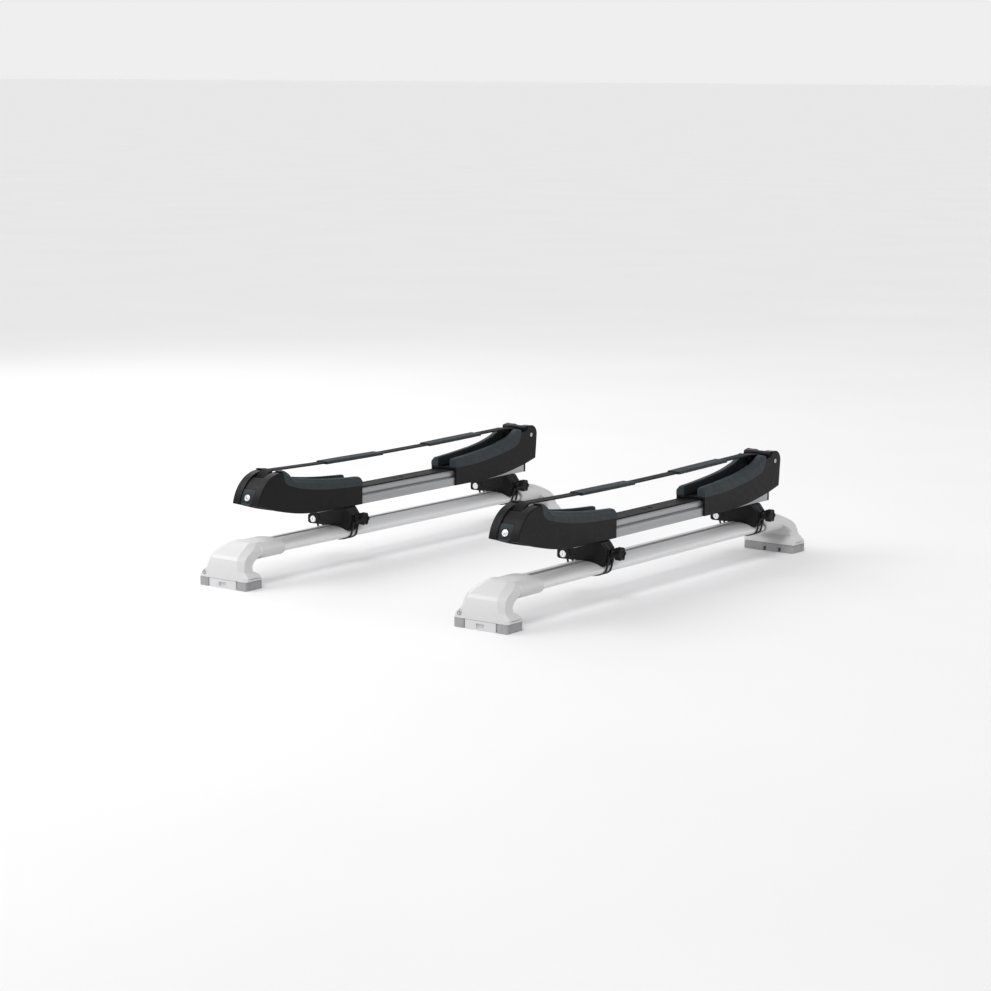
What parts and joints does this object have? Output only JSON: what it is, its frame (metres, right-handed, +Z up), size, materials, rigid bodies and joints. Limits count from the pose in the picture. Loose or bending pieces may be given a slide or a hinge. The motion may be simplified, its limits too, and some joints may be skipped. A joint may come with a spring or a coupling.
{
  "type": "roof rack board carrier set",
  "caption": "Pair of telescoping strap-down board cradles clamped on two aero crossbars with roof-rail feet.",
  "frame": {"origin": "on the ground plane of the four feet, in the middle of the rack", "axes": "+X along the crossbars away from the lock end, +Y from the front bar to the rear bar, +Z up"},
  "size_m": [1.034, 0.741, 0.2145],
  "materials": {
    "housing_plastic": "fine moulded grain",
    "bracket_plastic": "glass-filled nylon, slightly glossy",
    "pad_rubber": "soft blue-grey rubber",
    "lever_plastic": "blue-grey soft touch",
    "rail_aluminium": "satin anodised",
    "bar_aluminium": "satin anodised",
    "cover_plastic": "fine grain",
    "strip_rubber": "ribbed grey rubber",
    "pin_steel": "bright zinc",
    "lock_chrome": "polished",
    "strap_webbing": "woven polyester",
    "sleeve_fabric": "padded blue-grey fabric",
    "foot_white": "satin white",
    "base_grey": "light grey",
    "jaw_grey": "satin light grey",
    "saddle_rubber": "black rubber"
  },
  "bodies": {
    "root": {"crossbar_strips": "strip_rubber", "foot_shells": "foot_white", "foot_bases": "base_grey", "rail_screws": "pin_steel", "saddle_pads": "saddle_rubber", "pivot_pins": "pin_steel", "front_crossbar": "bar_aluminium", "front_rail": "rail_aluminium", "front_rail_cover": "cover_plastic", "front_rail_end_cap": "cover_plastic", "front_right_housing": "housing_plastic", "front_right_pads": "pad_rubber", "front_left_bracket": "bracket_plastic", "front_right_bracket": "bracket_plastic", "rear_crossbar": "bar_aluminium", "rear_rail": "rail_aluminium", "rear_rail_cover": "cover_plastic", "rear_rail_end_cap": "cover_plastic", "rear_right_housing": "housing_plastic", "rear_right_pads": "pad_rubber", "rear_left_bracket": "bracket_plastic", "rear_right_bracket": "bracket_plastic"},
    "front_left_foot_jaw": {"front_left_foot_jaw": "jaw_grey"},
    "front_left_foot_lock": {"front_left_foot_lock": "pin_steel"},
    "front_right_foot_jaw": {"front_right_foot_jaw": "jaw_grey"},
    "front_right_foot_lock": {"front_right_foot_lock": "pin_steel"},
    "front_telescoping_cradle": {"front_extension_tube": "rail_aluminium", "front_left_housing": "housing_plastic", "front_left_pads": "pad_rubber", "front_lever_axle": "pin_steel"},
    "front_strap_lever": {"front_strap_lever": "lever_plastic"},
    "front_strap_lock": {"front_strap_lock": "lock_chrome"},
    "front_strap_swing": {"front_strap_yoke": "housing_plastic", "front_strap": "strap_webbing", "front_strap_sleeves": "sleeve_fabric"},
    "front_left_clamp_band": {"front_left_clamp_band": "bracket_plastic"},
    "front_left_clamp_knob": {"front_left_clamp_knob": "bracket_plastic"},
    "front_left_clamp_lock": {"front_left_clamp_lock": "lock_chrome"},
    "front_right_clamp_band": {"front_right_clamp_band": "bracket_plastic"},
    "front_right_clamp_knob": {"front_right_clamp_knob": "bracket_plastic"},
    "front_right_clamp_lock": {"front_right_clamp_lock": "lock_chrome"},
    "rear_left_foot_jaw": {"rear_left_foot_jaw": "jaw_grey"},
    "rear_left_foot_lock": {"rear_left_foot_lock": "pin_steel"},
    "rear_right_foot_jaw": {"rear_right_foot_jaw": "jaw_grey"},
    "rear_right_foot_lock": {"rear_right_foot_lock": "pin_steel"},
    "rear_telescoping_cradle": {"rear_extension_tube": "rail_aluminium", "rear_left_housing": "housing_plastic", "rear_left_pads": "pad_rubber", "rear_lever_axle": "pin_steel"},
    "rear_strap_lever": {"rear_strap_lever": "lever_plastic"},
    "rear_strap_lock": {"rear_strap_lock": "lock_chrome"},
    "rear_strap_swing": {"rear_strap_yoke": "housing_plastic", "rear_strap": "strap_webbing", "rear_strap_sleeves": "sleeve_fabric"},
    "rear_left_clamp_band": {"rear_left_clamp_band": "bracket_plastic"},
    "rear_left_clamp_knob": {"rear_left_clamp_knob": "bracket_plastic"},
    "rear_left_clamp_lock": {"rear_left_clamp_lock": "lock_chrome"},
    "rear_right_clamp_band": {"rear_right_clamp_band": "bracket_plastic"},
    "rear_right_clamp_knob": {"rear_right_clamp_knob": "bracket_plastic"},
    "rear_right_clamp_lock": {"rear_right_clamp_lock": "lock_chrome"}
  },
  "joints": [
    {"name": "front_left_foot_jaw_slide", "type": "slide", "parent": "root", "child": "front_left_foot_jaw", "axis": [-1, 0, 0], "range_m": [0, 0.008]},
    {"name": "front_left_foot_lock_turn", "type": "hinge", "parent": "root", "child": "front_left_foot_lock", "pos_m": [-0.5102, -0.257, 0.027], "axis": [-1, 0, 0], "range_deg": [0, 90]},
    {"name": "front_right_foot_jaw_slide", "type": "slide", "parent": "root", "child": "front_right_foot_jaw", "axis": [1, 0, 0], "range_m": [0, 0.008]},
    {"name": "front_right_foot_lock_turn", "type": "hinge", "parent": "root", "child": "front_right_foot_lock", "pos_m": [0.5102, -0.349, 0.027], "axis": [1, 0, 0], "range_deg": [0, 90]},
    {"name": "front_cradle_telescope", "type": "slide", "parent": "root", "child": "front_telescoping_cradle", "axis": [-1, 0, 0], "range_m": [0, 0.15]},
    {"name": "front_strap_swing", "type": "hinge", "parent": "root", "child": "front_strap_swing", "pos_m": [0.433, -0.303, 0.194], "axis": [0, 1, 0], "range_deg": [0, 120]},
    {"name": "front_lever_release", "type": "hinge", "parent": "front_telescoping_cradle", "child": "front_strap_lever", "pos_m": [-0.4338, -0.303, 0.1761], "axis": [0, 1, 0], "range_deg": [0, 35]},
    {"name": "front_strap_lock_turn", "type": "hinge", "parent": "front_strap_lever", "child": "front_strap_lock", "pos_m": [-0.44033, -0.303, 0.1618], "axis": [-0.9259, 0, 0.3778], "range_deg": [0, 90]},
    {"name": "front_left_band_open", "type": "hinge", "parent": "root", "child": "front_left_clamp_band", "pos_m": [-0.178, -0.255, 0.085], "axis": [1, 0, 0], "range_deg": [0, 40]},
    {"name": "front_left_knob_turn", "type": "hinge", "parent": "root", "child": "front_left_clamp_knob", "pos_m": [-0.178, -0.363, 0.095], "axis": [0, -1, 0], "continuous": true},
    {"name": "front_left_clamp_lock_turn", "type": "hinge", "parent": "root", "child": "front_left_clamp_lock", "pos_m": [-0.196, -0.255, 0.085], "axis": [-1, 0, 0], "range_deg": [0, 90]},
    {"name": "front_right_band_open", "type": "hinge", "parent": "root", "child": "front_right_clamp_band", "pos_m": [0.36, -0.255, 0.085], "axis": [1, 0, 0], "range_deg": [0, 40]},
    {"name": "front_right_knob_turn", "type": "hinge", "parent": "root", "child": "front_right_clamp_knob", "pos_m": [0.36, -0.363, 0.095], "axis": [0, -1, 0], "continuous": true},
    {"name": "front_right_clamp_lock_turn", "type": "hinge", "parent": "root", "child": "front_right_clamp_lock", "pos_m": [0.342, -0.255, 0.085], "axis": [-1, 0, 0], "range_deg": [0, 90]},
    {"name": "rear_left_foot_jaw_slide", "type": "slide", "parent": "root", "child": "rear_left_foot_jaw", "axis": [-1, 0, 0], "range_m": [0, 0.008]},
    {"name": "rear_left_foot_lock_turn", "type": "hinge", "parent": "root", "child": "rear_left_foot_lock", "pos_m": [-0.5102, 0.351, 0.027], "axis": [-1, 0, 0], "range_deg": [0, 90]},
    {"name": "rear_right_foot_jaw_slide", "type": "slide", "parent": "root", "child": "rear_right_foot_jaw", "axis": [1, 0, 0], "range_m": [0, 0.008]},
    {"name": "rear_right_foot_lock_turn", "type": "hinge", "parent": "root", "child": "rear_right_foot_lock", "pos_m": [0.5102, 0.259, 0.027], "axis": [1, 0, 0], "range_deg": [0, 90]},
    {"name": "rear_cradle_telescope", "type": "slide", "parent": "root", "child": "rear_telescoping_cradle", "axis": [-1, 0, 0], "range_m": [0, 0.15]},
    {"name": "rear_strap_swing", "type": "hinge", "parent": "root", "child": "rear_strap_swing", "pos_m": [0.433, 0.305, 0.194], "axis": [0, 1, 0], "range_deg": [0, 120]},
    {"name": "rear_lever_release", "type": "hinge", "parent": "rear_telescoping_cradle", "child": "rear_strap_lever", "pos_m": [-0.4338, 0.305, 0.1761], "axis": [0, 1, 0], "range_deg": [0, 35]},
    {"name": "rear_strap_lock_turn", "type": "hinge", "parent": "rear_strap_lever", "child": "rear_strap_lock", "pos_m": [-0.44033, 0.305, 0.1618], "axis": [-0.9259, 0, 0.3778], "range_deg": [0, 90]},
    {"name": "rear_left_band_open", "type": "hinge", "parent": "root", "child": "rear_left_clamp_band", "pos_m": [-0.178, 0.353, 0.085], "axis": [1, 0, 0], "range_deg": [0, 40]},
    {"name": "rear_left_knob_turn", "type": "hinge", "parent": "root", "child": "rear_left_clamp_knob", "pos_m": [-0.178, 0.245, 0.095], "axis": [0, -1, 0], "continuous": true},
    {"name": "rear_left_clamp_lock_turn", "type": "hinge", "parent": "root", "child": "rear_left_clamp_lock", "pos_m": [-0.196, 0.353, 0.085], "axis": [-1, 0, 0], "range_deg": [0, 90]},
    {"name": "rear_right_band_open", "type": "hinge", "parent": "root", "child": "rear_right_clamp_band", "pos_m": [0.36, 0.353, 0.085], "axis": [1, 0, 0], "range_deg": [0, 40]},
    {"name": "rear_right_knob_turn", "type": "hinge", "parent": "root", "child": "rear_right_clamp_knob", "pos_m": [0.36, 0.245, 0.095], "axis": [0, -1, 0], "continuous": true},
    {"name": "rear_right_clamp_lock_turn", "type": "hinge", "parent": "root", "child": "rear_right_clamp_lock", "pos_m": [0.342, 0.353, 0.085], "axis": [-1, 0, 0], "range_deg": [0, 90]}
  ]
}
